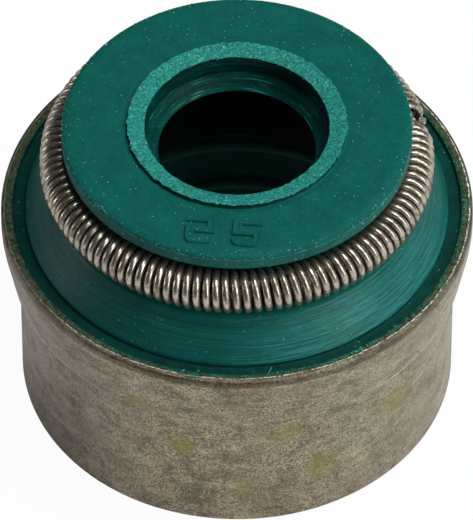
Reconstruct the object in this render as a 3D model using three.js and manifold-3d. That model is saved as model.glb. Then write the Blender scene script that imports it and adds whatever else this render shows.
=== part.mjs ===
// Valve stem seal: a fluoro-rubber body moulded into a pressed steel case, with a garter spring
// in the groove of its neck. Millimetres, +Z up, origin on the axis at the foot of the case.
// Radii are built outwards from the sealing lip, and heights from the foot and from the rim.

import * as THREE from 'three';
import { mergeVertices } from 'three/addons/utils/BufferGeometryUtils.js';
import Module from 'manifold-3d';

// Sealing lip and the mouth above it
const LIP_RADIUS = 3.63;
const FUNNEL_WIDTH = 0.63;
const FUNNEL_DEPTH = 0.59;
const THROAT_DEPTH = 1.03;
const THROAT_UNDERCUT = 0.04;
const LIP_SLOPE_HEIGHT = 2.0;

// Ground ring round the mouth
const RING_WIDTH = 0.81;
const RING_PROUD = 0.18;
const RING_FACE_DROP = 0.19;

// Head, the disc over the spring
const HEAD_OVERHANG = 1.0;
const HEAD_SIDE_HEIGHT = 0.61;
const HEAD_EDGE_WIDTH = 0.42;
const HEAD_EDGE_DROP = 0.21;
const HEAD_ABOVE_SPRING = 0.49;
const HEAD_UNDERSIDE_FILLET = 0.25;

// Garter spring: closed coils round the neck, its reduced end screwed into its other end
const WIRE_DIAMETER = 0.35;
const COIL_RADIUS = 1.02;
const COIL_GAP = 0.035;
const SPRING_CLEARANCE = 0.02;
const SPRING_RISE = 3.13;
const JOINT_ANGLE = 16;
const NIB_CLEARANCE = 0.06;
const NIB_TURNS = 3.5;
const NIB_TAPER_TURNS = 3;

// Neck and shoulder
const NECK_WALL = 3.47;
const CREST_WIDTH = 0.47;
const CREST_DROP = 0.13;
const SHOULDER_WIDTH = 1.24;
const RIM_GROOVE_WIDTH = 0.6;
const RIM_GROOVE_DROP = 0.2;
const RIM_GROOVE_DRAFT = 0.04;

// Pressed steel case
const SHEET = 0.55;
const CASE_HEIGHT = 10.8;
const BAND_HEIGHT = 3.44;
const BAND_UPRIGHT = 1.0;
const BAND_TAPER = 0.41;
const STEP_WIDTH = 0.42;
const FOOT_ROUND = 0.15;

// Socket for the valve guide, lined with rubber
const LINING = 1.72;
const LINING_FOOT = 0.4;
const LEAD_IN = 0.5;
const GUIDE_STOP_WIDTH = 2.0;
const GUIDE_STOP_BELOW_RIM = 1.8;
const RIB_COUNT = 2;
const RIB_PROUD = 0.15;
const RIB_FACE = 0.3;
const RIB_FLANK = 0.35;

// Raised cavity number on the head
const DIGIT_HEIGHT = 1.68;
const DIGIT_WIDTH = 1.38;
const DIGIT_STROKE = 0.4;
const DIGIT_PITCH = 2.15;
const DIGIT_PROUD = 0.14;
const DIGIT_ROOT = 0.3;
const DIGIT_CORNER = 0.3;
const DIGIT_EDGE_GAP = 0.26;
const NUMBER_ANGLE = -95.3;

// Each digit is a rounded block with an upper and a lower slot, which opens to one side
const NUMBER = [
  { upper: 'left', lower: 'right' },
  { upper: 'right', lower: 'left' },
];

// Facets
const ROUND_FACETS = 48;
const WIRE_SIDES = 5;
const STEPS_PER_COIL = 7;
const ARC_STEPS = 6;
const EDGE_STEPS = 3;
const CORNER_STEPS = 3;

// Radii that follow from the lip outwards
const mouthRadius = LIP_RADIUS + FUNNEL_WIDTH;
const ringRadius = mouthRadius + RING_WIDTH;
const neckRadius = LIP_RADIUS + NECK_WALL;
const headRadius = neckRadius + HEAD_OVERHANG;
const springRadius = neckRadius + SPRING_CLEARANCE + COIL_RADIUS;
const crestRadius = springRadius + CREST_WIDTH;
const shoulderRadius = crestRadius + SHOULDER_WIDTH;
const rimInnerRadius = shoulderRadius + RIM_GROOVE_WIDTH;
const rimRadius = rimInnerRadius + SHEET;
const bandFootRadius = rimRadius - BAND_TAPER;
const tubeRadius = bandFootRadius - STEP_WIDTH;
const tubeInnerRadius = tubeRadius - SHEET;
const guideRadius = tubeInnerRadius - LINING;
const chamberRadius = guideRadius - GUIDE_STOP_WIDTH;

// Heights that follow from the foot and from the rim upwards
const stepHeight = CASE_HEIGHT - BAND_HEIGHT;
const taperTop = CASE_HEIGHT - BAND_UPRIGHT;
const springHeight = CASE_HEIGHT + SPRING_RISE;
const grooveRadius = COIL_RADIUS + SPRING_CLEARANCE;
const crestHeight = springHeight - grooveRadius - CREST_DROP;
const headUnderside = springHeight + COIL_RADIUS + HEAD_ABOVE_SPRING;
const headShoulder = headUnderside + HEAD_SIDE_HEIGHT;
const headTop = headShoulder + HEAD_EDGE_DROP;
const ringTop = headTop + RING_PROUD;
const mouthHeight = ringTop - RING_FACE_DROP;
const throatFoot = mouthHeight - THROAT_DEPTH;
const lipHeight = throatFoot - FUNNEL_DEPTH;
const guideStop = CASE_HEIGHT - GUIDE_STOP_BELOW_RIM;

const wasm = await Module();
wasm.setup();

// A closed outline of [radius, height] points, counter-clockwise, turned about the Z axis
function turned(outline) {
  const points = [...outline, outline[0]].map(([radius, height]) => new THREE.Vector2(radius, height));
  return new THREE.LatheGeometry(points, ROUND_FACETS).rotateX(Math.PI / 2);
}

// Points of an arc about (radius, height), its angles in degrees from straight outwards
function arc(radius, height, size, from, to, steps) {
  return Array.from({ length: steps + 1 }, (_, i) => {
    const angle = THREE.MathUtils.degToRad(from + ((to - from) * i) / steps);
    return [radius + size * Math.cos(angle), height + size * Math.sin(angle)];
  });
}

// Inner face of the case from its ledge up to a height in the upright rim; the rubber is bonded to it
function caseInnerWall(bottom, top) {
  const ledge = stepHeight + SHEET;
  const slope = BAND_TAPER / (taperTop - stepHeight);
  const ledgeRadius = bandFootRadius - SHEET + slope * SHEET;
  return [
    [tubeInnerRadius, bottom],
    [tubeInnerRadius, ledge],
    [ledgeRadius, ledge],
    [rimInnerRadius, taperTop],
    [rimInnerRadius, top],
  ];
}

function caseGeometry() {
  return turned([
    ...arc(tubeRadius - FOOT_ROUND, FOOT_ROUND, FOOT_ROUND, -90, 0, EDGE_STEPS),
    [tubeRadius, stepHeight],
    [bandFootRadius, stepHeight],
    [rimRadius, taperTop],
    [rimRadius, CASE_HEIGHT],
    ...caseInnerWall(0, CASE_HEIGHT).reverse(),
  ]);
}

// Rounded outer edge of the head: a quarter of an ellipse
function headEdge() {
  return Array.from({ length: EDGE_STEPS + 1 }, (_, i) => {
    const angle = (Math.PI / 2) * (i / EDGE_STEPS);
    const radius = headRadius - HEAD_EDGE_WIDTH * (1 - Math.cos(angle));
    return [radius, headShoulder + HEAD_EDGE_DROP * Math.sin(angle)];
  });
}

// Sealing ribs of the lining, from the guide stop down
function ribs() {
  const pitch = (guideStop - LINING_FOOT - LEAD_IN) / (RIB_COUNT + 1);
  return Array.from({ length: RIB_COUNT }, (_, i) => {
    const middle = guideStop - pitch * (i + 1);
    const face = RIB_FACE / 2;
    return [
      [guideRadius, middle + face + RIB_FLANK],
      [guideRadius - RIB_PROUD, middle + face],
      [guideRadius - RIB_PROUD, middle - face],
      [guideRadius, middle - face - RIB_FLANK],
    ];
  }).flat();
}

function rubberOutline() {
  return [
    ...caseInnerWall(LINING_FOOT, CASE_HEIGHT - RIM_GROOVE_DROP),
    [shoulderRadius + RIM_GROOVE_DRAFT, CASE_HEIGHT - RIM_GROOVE_DROP],
    [shoulderRadius, CASE_HEIGHT],
    [crestRadius, crestHeight],
    ...arc(springRadius, springHeight, grooveRadius, -90, -180, ARC_STEPS),
    [neckRadius, headUnderside - HEAD_UNDERSIDE_FILLET],
    [neckRadius + HEAD_UNDERSIDE_FILLET, headUnderside],
    [headRadius, headUnderside],
    ...headEdge(),
    [ringRadius, headTop],
    [ringRadius, ringTop],
    [mouthRadius, mouthHeight],
    [mouthRadius + THROAT_UNDERCUT, throatFoot],
    [LIP_RADIUS, lipHeight],
    [chamberRadius, lipHeight - LIP_SLOPE_HEIGHT],
    [chamberRadius, guideStop],
    [guideRadius, guideStop],
    ...ribs(),
    [guideRadius, LINING_FOOT + LEAD_IN],
    [guideRadius + LEAD_IN, LINING_FOOT],
  ];
}

// One digit, standing on its back at the origin with its top towards +Y
function digitSolid({ upper, lower }) {
  const halfWidth = DIGIT_WIDTH / 2;
  const halfHeight = DIGIT_HEIGHT / 2;
  const block = new THREE.Shape();
  const corners = [[1, -1, -90], [1, 1, 0], [-1, 1, 90], [-1, -1, 180]];
  for (const [sideways, upwards, start] of corners) {
    const from = THREE.MathUtils.degToRad(start);
    const x = sideways * (halfWidth - DIGIT_CORNER);
    const y = upwards * (halfHeight - DIGIT_CORNER);
    block.absarc(x, y, DIGIT_CORNER, from, from + Math.PI / 2, false);
  }
  block.closePath();
  const depth = DIGIT_ROOT + DIGIT_PROUD;
  const solid = toManifold(new THREE.ExtrudeGeometry(block, {
    depth, bevelEnabled: false, curveSegments: CORNER_STEPS,
  }));

  const slotHeight = (DIGIT_HEIGHT - 3 * DIGIT_STROKE) / 2;
  const slotShift = (DIGIT_STROKE + slotHeight) / 2;
  const slot = (side, y) => {
    const towards = side === 'left' ? -1 : 1;
    const cut = new THREE.BoxGeometry(DIGIT_WIDTH, slotHeight, 3 * depth);
    return toManifold(cut.translate(towards * DIGIT_STROKE, y, 0));
  };
  return solid.subtract(slot(upper, slotShift)).subtract(slot(lower, -slotShift));
}

// The number's digits side by side along the head's front, rooted in its flat top
function numberSolids() {
  const middleRadius = headRadius - HEAD_EDGE_WIDTH - DIGIT_EDGE_GAP - DIGIT_HEIGHT / 2;
  const turn = NUMBER_ANGLE + 90;
  return NUMBER.map((digit, i) => digitSolid(digit)
    .translate([(i - (NUMBER.length - 1) / 2) * DIGIT_PITCH, -middleRadius, headTop - DIGIT_ROOT])
    .rotate([0, 0, turn]));
}

function rubberGeometry() {
  const body = toManifold(turned(rubberOutline()));
  return fromManifold(numberSolids().reduce((solid, digit) => solid.add(digit), body));
}

// Wire of the garter spring: coils wound about a ring, the last of them drawn in to form the nib
class GarterWire extends THREE.Curve {
  constructor() {
    super();
    this.fullRadius = COIL_RADIUS - WIRE_DIAMETER / 2;
    this.nibRadius = this.fullRadius * Math.cos(Math.PI / STEPS_PER_COIL) - WIRE_DIAMETER - NIB_CLEARANCE;
    const innerRound = 2 * Math.PI * (springRadius - this.fullRadius);
    this.coils = Math.floor(innerRound / (WIRE_DIAMETER + COIL_GAP));
    this.turns = this.coils + NIB_TURNS;
  }

  // Steps are even in turns, so that each coil has the same number of them
  getUtoTmapping(u) {
    return u;
  }

  getPoint(t, target = new THREE.Vector3()) {
    const turn = t * this.turns;
    const drawnIn = THREE.MathUtils.smoothstep(turn, this.coils - NIB_TAPER_TURNS, this.coils);
    const coilRadius = THREE.MathUtils.lerp(this.fullRadius, this.nibRadius, drawnIn);
    const round = THREE.MathUtils.degToRad(JOINT_ANGLE) + (2 * Math.PI * turn) / this.coils;
    const coilAngle = -2 * Math.PI * turn;
    const reach = springRadius + coilRadius * Math.cos(coilAngle);
    const height = springHeight + coilRadius * Math.sin(coilAngle);
    return target.set(reach * Math.cos(round), reach * Math.sin(round), height);
  }
}

function springGeometry() {
  const wire = new GarterWire();
  const section = new THREE.Shape(Array.from({ length: WIRE_SIDES }, (_, i) => {
    const angle = (2 * Math.PI * i) / WIRE_SIDES;
    return new THREE.Vector2(Math.cos(angle), Math.sin(angle)).multiplyScalar(WIRE_DIAMETER / 2);
  }));
  const steps = Math.round(wire.turns * STEPS_PER_COIL);
  return new THREE.ExtrudeGeometry(section, { steps, extrudePath: wire });
}

function toManifold(geometry) {
  geometry.deleteAttribute('normal');
  geometry.deleteAttribute('uv');
  const merged = mergeVertices(geometry);
  return new wasm.Manifold(new wasm.Mesh({
    numProp: 3,
    vertProperties: new Float32Array(merged.getAttribute('position').array),
    triVerts: new Uint32Array(merged.getIndex().array),
  }));
}

function fromManifold(solid) {
  const { vertProperties, triVerts } = solid.getMesh();
  const geometry = new THREE.BufferGeometry();
  geometry.setAttribute('position', new THREE.BufferAttribute(vertProperties, 3));
  geometry.setIndex(new THREE.BufferAttribute(triVerts, 1));
  geometry.computeVertexNormals();
  return geometry;
}

function part(name, geometry, finish) {
  const mesh = new THREE.Mesh(geometry, new THREE.MeshStandardMaterial(finish));
  mesh.name = name;
  return mesh;
}

const seal = new THREE.Group();
seal.add(part('metal_case', caseGeometry(), { color: 0x827a68, roughness: 0.5, metalness: 0.9 }));
seal.add(part('rubber_body', rubberGeometry(), { color: 0x115a50, roughness: 0.6, metalness: 0 }));
seal.add(part('garter_spring', springGeometry(), { color: 0x938d83, roughness: 0.3, metalness: 1 }));

export default seal;
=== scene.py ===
"""Looks of the valve stem seal: steel case, green rubber body and garter spring, with studio and camera."""

import logging
import math
from dataclasses import dataclass
from enum import Enum

import bmesh
import bpy
import numpy as np
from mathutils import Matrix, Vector


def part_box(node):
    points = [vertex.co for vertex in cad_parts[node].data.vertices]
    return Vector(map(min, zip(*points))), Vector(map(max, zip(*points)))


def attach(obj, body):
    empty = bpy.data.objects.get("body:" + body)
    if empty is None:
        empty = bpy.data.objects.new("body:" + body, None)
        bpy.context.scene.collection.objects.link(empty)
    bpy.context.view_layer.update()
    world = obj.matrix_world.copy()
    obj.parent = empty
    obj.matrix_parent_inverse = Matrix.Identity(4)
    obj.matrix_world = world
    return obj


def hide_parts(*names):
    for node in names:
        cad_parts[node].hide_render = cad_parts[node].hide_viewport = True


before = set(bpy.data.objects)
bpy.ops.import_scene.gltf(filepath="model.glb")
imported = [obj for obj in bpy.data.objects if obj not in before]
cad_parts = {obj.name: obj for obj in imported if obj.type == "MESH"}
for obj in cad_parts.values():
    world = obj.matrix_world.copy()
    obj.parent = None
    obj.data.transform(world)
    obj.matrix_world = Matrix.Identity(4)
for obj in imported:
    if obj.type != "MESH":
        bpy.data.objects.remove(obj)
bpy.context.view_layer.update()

LOG = logging.getLogger("valve_stem_seal")
MM = 0.001
PER_METRE = 1 / MM
SEED = 24
BODY = "root"
TOUCH = 0.001
TINY = 1e-9
NOISE_WAVES = 28
FILM_INSET = 0.34
LEFT = (-1.0, 0.0, 0.0)
RIGHT = (1.0, 0.0, 0.0)
UP = np.array([0.0, 0.0, 1.0])
Socket = bpy.types.NodeSocket
Triple = tuple[float, float, float]


class Zone(Enum):
    """Stretches of the rubber's outline that get a finish of their own; the value is the material slot."""

    PLAIN = 0
    TURNED = 1
    GROUND = 2
    SIDE = 3
    # bore wall below the mouth, painted as shade
    SHADED_THROAT = 4
    # inside of the bore and chamber, painted near black as shade
    SHADED_INSIDE = 5
    # painted shade: dark rubber in the groove inside the rim and on the ring's outer wall
    SHADED_GROOVE = 6
    EDGE = 7


class CaseZone(Enum):
    """Stretches of the case's outline that get a finish of their own; the value is the material slot."""

    SHEET = 0
    FILM = 1
    BURR = 2
    # rounded rim edge and foot bevel, painted as shade with a darker copy of the steel
    SHADED_EDGE = 3
    # narrow line on the band's lower edge, a painted highlight
    PAINTED_HIGHLIGHT_EDGE = 4


@dataclass(frozen=True)
class Corner:
    """A corner of a turned outline, in millimetres, with the zone and steps of the stretch after it."""

    radius: float
    height: float
    rounding: float = 0.0
    zone: Zone | CaseZone = Zone.PLAIN
    steps: int = 1


@dataclass
class SealSizes:
    """Sizes of the seal in millimetres. The case's own box in the frame gives the rim and its height."""

    rim_radius: float
    case_height: float
    sheet: float = 0.55
    band_height: float = 3.44
    band_upright: float = 1.0
    band_taper: float = 0.41
    step_width: float = 0.42
    groove_width: float = 0.6
    groove_drop: float = 0.2
    groove_draft: float = 0.04
    shoulder_width: float = 1.24
    crest_width: float = 0.47
    crest_drop: float = 0.13
    spring_rise: float = 3.13
    coil_radius: float = 1.02
    wire: float = 0.35
    coil_gap: float = 0.035
    spring_clearance: float = 0.02
    neck_wall: float = 3.47
    head_overhang: float = 1.0
    head_above_spring: float = 0.49
    head_side: float = 0.61
    head_edge_width: float = 0.42
    head_edge_drop: float = 0.21
    ring_width: float = 0.81
    ring_proud: float = 0.18
    ring_face_drop: float = 0.19
    funnel_width: float = 0.63
    funnel_depth: float = 0.59
    throat_depth: float = 1.03
    throat_undercut: float = 0.04
    lip_slope_height: float = 2.0
    lining: float = 1.72
    lining_foot: float = 0.4
    lead_in: float = 0.5
    guide_stop_width: float = 2.0
    guide_stop_below_rim: float = 1.8
    rib_count: int = 2
    rib_proud: float = 0.15
    rib_face: float = 0.3
    rib_flank: float = 0.35

    @property
    def rim_inner(self) -> float:
        """Inner radius of the sheet at the rim."""
        return self.rim_radius - self.sheet

    @property
    def shoulder_radius(self) -> float:
        """Radius of the shoulder's lower edge, beside the small groove inside the rim."""
        return self.rim_inner - self.groove_width

    @property
    def crest_radius(self) -> float:
        """Radius of the shoulder's upper edge, under the spring."""
        return self.shoulder_radius - self.shoulder_width

    @property
    def spring_radius(self) -> float:
        """Radius of the circle that the spring is wound about."""
        return self.crest_radius - self.crest_width

    @property
    def neck_radius(self) -> float:
        """Radius at the bottom of the spring groove."""
        return self.spring_radius - self.coil_radius - self.spring_clearance

    @property
    def head_radius(self) -> float:
        """Outer radius of the head."""
        return self.neck_radius + self.head_overhang

    @property
    def flat_radius(self) -> float:
        """Outer radius of the head's flat top."""
        return self.head_radius - self.head_edge_width

    @property
    def lip_radius(self) -> float:
        """Radius of the sealing lip."""
        return self.neck_radius - self.neck_wall

    @property
    def mouth_radius(self) -> float:
        """Radius of the mouth."""
        return self.lip_radius + self.funnel_width

    @property
    def ring_radius(self) -> float:
        """Outer radius of the ground ring round the mouth."""
        return self.mouth_radius + self.ring_width

    @property
    def band_foot(self) -> float:
        """Outer radius of the band at its lower edge."""
        return self.rim_radius - self.band_taper

    @property
    def tube_radius(self) -> float:
        """Outer radius of the case's lower tube."""
        return self.band_foot - self.step_width

    @property
    def guide_radius(self) -> float:
        """Inner radius of the rubber lining."""
        return self.tube_radius - self.sheet - self.lining

    @property
    def chamber_radius(self) -> float:
        """Radius of the hollow between the guide stop and the lip."""
        return self.guide_radius - self.guide_stop_width

    @property
    def step_height(self) -> float:
        """Height of the case's outer step."""
        return self.case_height - self.band_height

    @property
    def taper_top(self) -> float:
        """Height where the band's taper meets its upright stretch."""
        return self.case_height - self.band_upright

    @property
    def spring_height(self) -> float:
        """Height of the spring's middle."""
        return self.case_height + self.spring_rise

    @property
    def head_underside(self) -> float:
        """Height of the head's underside."""
        return self.spring_height + self.coil_radius + self.head_above_spring

    @property
    def head_shoulder(self) -> float:
        """Height of the top of the head's upright side."""
        return self.head_underside + self.head_side

    @property
    def head_top(self) -> float:
        """Height of the head's flat top."""
        return self.head_shoulder + self.head_edge_drop

    @property
    def ring_top(self) -> float:
        """Height of the ground ring's outer edge, the seal's highest line."""
        return self.head_top + self.ring_proud

    @property
    def mouth_height(self) -> float:
        """Height of the mouth's edge."""
        return self.ring_top - self.ring_face_drop

    @property
    def guide_stop(self) -> float:
        """Height of the shelf that the valve guide meets."""
        return self.case_height - self.guide_stop_below_rim

    @property
    def coils(self) -> int:
        """Number of coils that fit round the neck side by side."""
        inner = self.spring_radius - self.coil_radius + self.wire / 2
        return math.floor(2 * math.pi * inner / (self.wire + self.coil_gap))

    def inner_wall(self, bottom: float, top: float) -> list[Corner]:
        """Inner face of the case, which the rubber is bonded to.

        Args:
            bottom: height where the wall starts.
            top: height where it ends, in the upright rim.

        Returns:
            The wall's corners from the bottom up.
        """
        ledge = self.step_height + self.sheet
        slope = self.band_taper / (self.taper_top - self.step_height)
        tube = self.tube_radius - self.sheet
        return [
            Corner(tube, bottom),
            Corner(tube, ledge),
            Corner(self.band_foot - self.sheet + slope * self.sheet, ledge),
            Corner(self.rim_inner, self.taper_top),
            Corner(self.rim_inner, top),
        ]


def rounded_outline(corners: list[Corner], curve_steps: int = 4) -> tuple[np.ndarray, np.ndarray]:
    """Closed outline through the corners, each rounded corner a quadratic curve between its tangent points.

    Args:
        corners: the corners, counter-clockwise in radius and height.
        curve_steps: steps of each rounded corner.

    Returns:
        The points as an array of [radius, height] and the zone value of the stretch after each point.
    """
    places = np.array([[c.radius, c.height] for c in corners])
    before = np.roll(places, 1, axis=0) - places
    after = np.roll(places, -1, axis=0) - places
    points, zones = [], []
    for i, corner in enumerate(corners):
        reach = [corner.rounding * v / max(np.linalg.norm(v), TINY) for v in (before[i], after[i])]
        start, end = places[i] + reach[0], places[i] + reach[1]
        if corner.rounding > 0:
            t = np.linspace(0, 1, curve_steps + 1)[:, None]
            curve = (1 - t) ** 2 * start + 2 * t * (1 - t) * places[i] + t**2 * end
        else:
            curve = places[i][None]
        following = corners[(i + 1) % len(corners)]
        next_reach = -following.rounding * after[i] / max(np.linalg.norm(after[i]), TINY)
        finish = places[i] + after[i] + next_reach
        share = (np.arange(1, corner.steps) / corner.steps)[:, None]
        stretch = end + (finish - end) * share
        points += [curve, stretch]
        zones += [corner.zone.value] * (len(curve) + len(stretch))
    return np.vstack(points), np.array(zones)


def periodic_noise(angle: np.ndarray, along: np.ndarray, seed: int, orders: int, length: float) -> np.ndarray:
    """Smooth noise that closes round the axis: a sum of cosines of angle and distance with random phases.

    Args:
        angle: angles in radians, any shape.
        along: distances along the outline, same shape, in the unit of length.
        seed: seed of the random numbers.
        orders: the highest number of waves round the axis.
        length: typical length of a wave along the outline.

    Returns:
        Noise of about unit size in the same shape.
    """
    rng = np.random.default_rng(seed)
    count = NOISE_WAVES
    waves = rng.integers(1, orders + 1, count)
    slopes = rng.normal(0, 2 * np.pi / length, count)
    phases = rng.uniform(0, 2 * np.pi, count)
    total = np.zeros(np.broadcast(angle, along).shape)
    for wave, slope, phase in zip(waves, slopes, phases):
        total += np.cos(wave * angle + slope * along + phase)
    return total / math.sqrt(count / 2)


def round_steps(count: int) -> np.ndarray:
    """Angles of equal steps once round.

    Args:
        count: number of steps.

    Returns:
        The angles in radians, from 0.
    """
    return np.linspace(0, 2 * np.pi, count, endpoint=False)


def scaled(values: Triple, factor: float) -> Triple:
    """Three numbers times a factor.

    Args:
        values: a colour or a place.
        factor: the factor.

    Returns:
        The three products.
    """
    return tuple(factor * value for value in values)


def smooth_step(share: np.ndarray) -> np.ndarray:
    """Eases a share in and out: 3 t t - 2 t t t, with t held between 0 and 1.

    Args:
        share: the shares.

    Returns:
        The eased shares.
    """
    held = np.clip(share, 0, 1)
    return held * held * (3 - 2 * held)


def ragged(count: int, seed: int, spread: int) -> np.ndarray:
    """Random heights round a closed edge, each a mean of its neighbours weighted by a bell curve.

    Args:
        count: number of heights.
        seed: seed of the random numbers.
        spread: width of the bell curve in steps.

    Returns:
        A column of heights whose standard deviation is one.
    """
    raw = np.random.default_rng(seed).normal(size=count)
    kernel = np.exp(-0.5 * (np.arange(-3 * spread, 3 * spread + 1) / spread) ** 2)
    smooth = np.real(np.fft.ifft(np.fft.fft(raw) * np.fft.fft(np.pad(kernel, (0, count - len(kernel))))))
    return (smooth / smooth.std())[:, None]


def polar(radius: np.ndarray | float, angle: np.ndarray, height: np.ndarray | float) -> np.ndarray:
    """Points at polar places: x = r cos a, y = r sin a, z = h.

    Args:
        radius: distances from the axis in millimetres, or one for all.
        angle: angles in radians.
        height: heights in millimetres, or one for all.

    Returns:
        The points, with x, y and z along the last axis.
    """
    return np.stack(np.broadcast_arrays(radius * np.cos(angle), radius * np.sin(angle), height), axis=-1)


def unit(vectors: np.ndarray) -> np.ndarray:
    """Vectors along the last axis, scaled to length one.

    Args:
        vectors: the vectors.

    Returns:
        The unit vectors.
    """
    return vectors / np.linalg.norm(vectors, axis=-1, keepdims=True)


def square_to(vectors: np.ndarray, axes: np.ndarray) -> np.ndarray:
    """Part of each vector at right angles to its axis, scaled to length one.

    Args:
        vectors: the vectors.
        axes: unit vectors, one for each.

    Returns:
        The unit vectors.
    """
    return unit(vectors - np.sum(vectors * axes, axis=-1, keepdims=True) * axes)


def mesh_object(name: str, points: np.ndarray, faces: np.ndarray, zones: np.ndarray | None = None,
                uv: np.ndarray | None = None, smooth: bool = True) -> bpy.types.Object:
    """Makes a mesh object at the origin from arrays.

    Args:
        name: the piece's name.
        points: vertices in millimetres, one row each.
        faces: vertex numbers, one row per face, all with as many corners.
        zones: material slot of each face.
        uv: map coordinates of each face corner.
        smooth: whether the faces are shaded smooth.

    Returns:
        The new object.
    """
    mesh = bpy.data.meshes.new(name)
    corners = faces.shape[1]
    mesh.vertices.add(len(points))
    mesh.vertices.foreach_set("co", (points * MM).astype(np.float32).ravel())
    mesh.loops.add(faces.size)
    mesh.loops.foreach_set("vertex_index", faces.astype(np.int32).ravel())
    mesh.polygons.add(len(faces))
    mesh.polygons.foreach_set("loop_start", np.arange(0, faces.size, corners, dtype=np.int32))
    mesh.polygons.foreach_set("use_smooth", np.full(len(faces), smooth))
    if zones is not None:
        mesh.polygons.foreach_set("material_index", zones.astype(np.int32))
    if uv is not None:
        layer = mesh.uv_layers.new(name="UVMap")
        layer.data.foreach_set("uv", uv.astype(np.float32).ravel())
    mesh.update(calc_edges=True)
    mesh.validate()
    piece = bpy.data.objects.new(name, mesh)
    bpy.context.scene.collection.objects.link(piece)
    return piece


def grid_faces(rows: int, columns: int, wrap_rows: bool, wrap_columns: bool) -> np.ndarray:
    """Quads of a grid whose vertex numbers run along its columns first.

    Args:
        rows: number of rows.
        columns: number of vertices in a row.
        wrap_rows: whether the last row joins the first.
        wrap_columns: whether the last column joins the first.

    Returns:
        One row of four vertex numbers per quad.
    """
    i = np.arange(rows if wrap_rows else rows - 1)[:, None]
    j = np.arange(columns if wrap_columns else columns - 1)[None]
    i_next, j_next = (i + 1) % rows, (j + 1) % columns
    quads = np.stack(np.broadcast_arrays(
        i * columns + j, i_next * columns + j, i_next * columns + j_next, i * columns + j_next), axis=-1)
    return quads.reshape(-1, 4)


def turned_piece(name: str, outline: np.ndarray, zones: np.ndarray, segments: int,
                 shift: np.ndarray) -> bpy.types.Object:
    """Turns a closed outline about the axis, with radius and height shifted point by point.

    Args:
        name: the piece's name.
        outline: points of [radius, height] in millimetres, counter-clockwise.
        zones: material slot of the stretch after each point.
        segments: number of steps round the axis.
        shift: array of segments x points x 2, added to radius and height.

    Returns:
        The new object, with the map's U round the axis and V along the outline, both in millimetres.
    """
    angle = round_steps(segments)[:, None]
    radius = outline[None, :, 0] + shift[..., 0]
    height = outline[None, :, 1] + shift[..., 1]
    points = polar(radius, angle, height).reshape(-1, 3)
    count = len(outline)
    faces = grid_faces(segments, count, True, True)
    steps = np.linalg.norm(np.roll(outline, -1, axis=0) - outline, axis=1)
    along = np.concatenate([[0], np.cumsum(steps)])
    around = np.arange(segments + 1) / segments * 2 * np.pi * outline[:, 0].max()
    i, j = np.arange(segments)[:, None], np.arange(count)[None]
    corner_u = np.stack(np.broadcast_arrays(around[i], around[i + 1], around[i + 1], around[i]), -1)
    u = np.broadcast_to(corner_u, (segments, count, 4))
    v = np.broadcast_to(np.stack([along[j], along[j], along[j + 1], along[j + 1]], -1), (segments, count, 4))
    uv = np.stack([u, v], axis=-1).reshape(-1, 2)
    return mesh_object(name, points, faces, np.tile(zones, segments), uv)


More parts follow.
